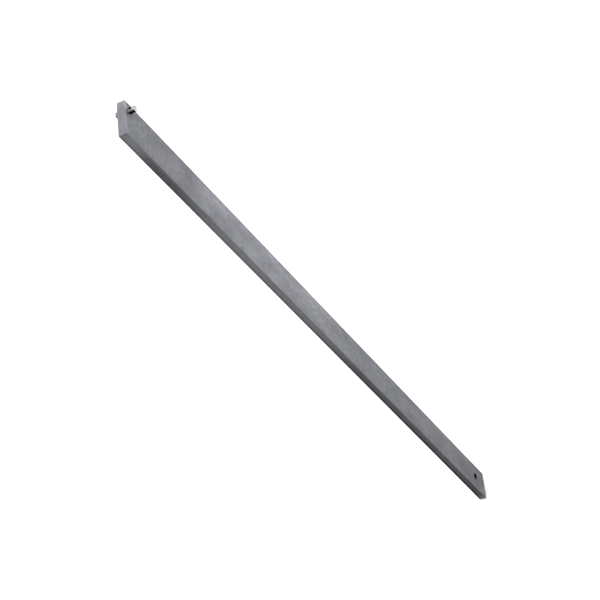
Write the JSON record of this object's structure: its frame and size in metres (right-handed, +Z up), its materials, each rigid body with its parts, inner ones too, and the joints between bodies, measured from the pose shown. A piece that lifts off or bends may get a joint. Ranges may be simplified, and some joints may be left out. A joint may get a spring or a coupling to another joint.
{
  "type": "post anchor spike",
  "caption": "Long flat steel ground spike with parallel slanted ends, a round cross pin near the top corner and an anchor hole near the tip.",
  "frame": {"origin": "middle of the bar's width and thickness, at the level of the lower tip", "axes": "+Z up along the bar from the lower tip to the upper tip, +X towards the edge that the cross pin is near, Y through the thickness along the pin and the anchor hole"},
  "size_m": [0.04, 0.027, 1],
  "materials": {
    "galvanised_bar": "dull blue-grey zinc, cloudy, lightly scuffed",
    "bright_pin": "bright drawn round steel, nearly mirror smooth"
  },
  "bodies": {
    "root": {"spike_bar": "galvanised_bar", "cross_pin": "bright_pin"}
  },
  "joints": []
}
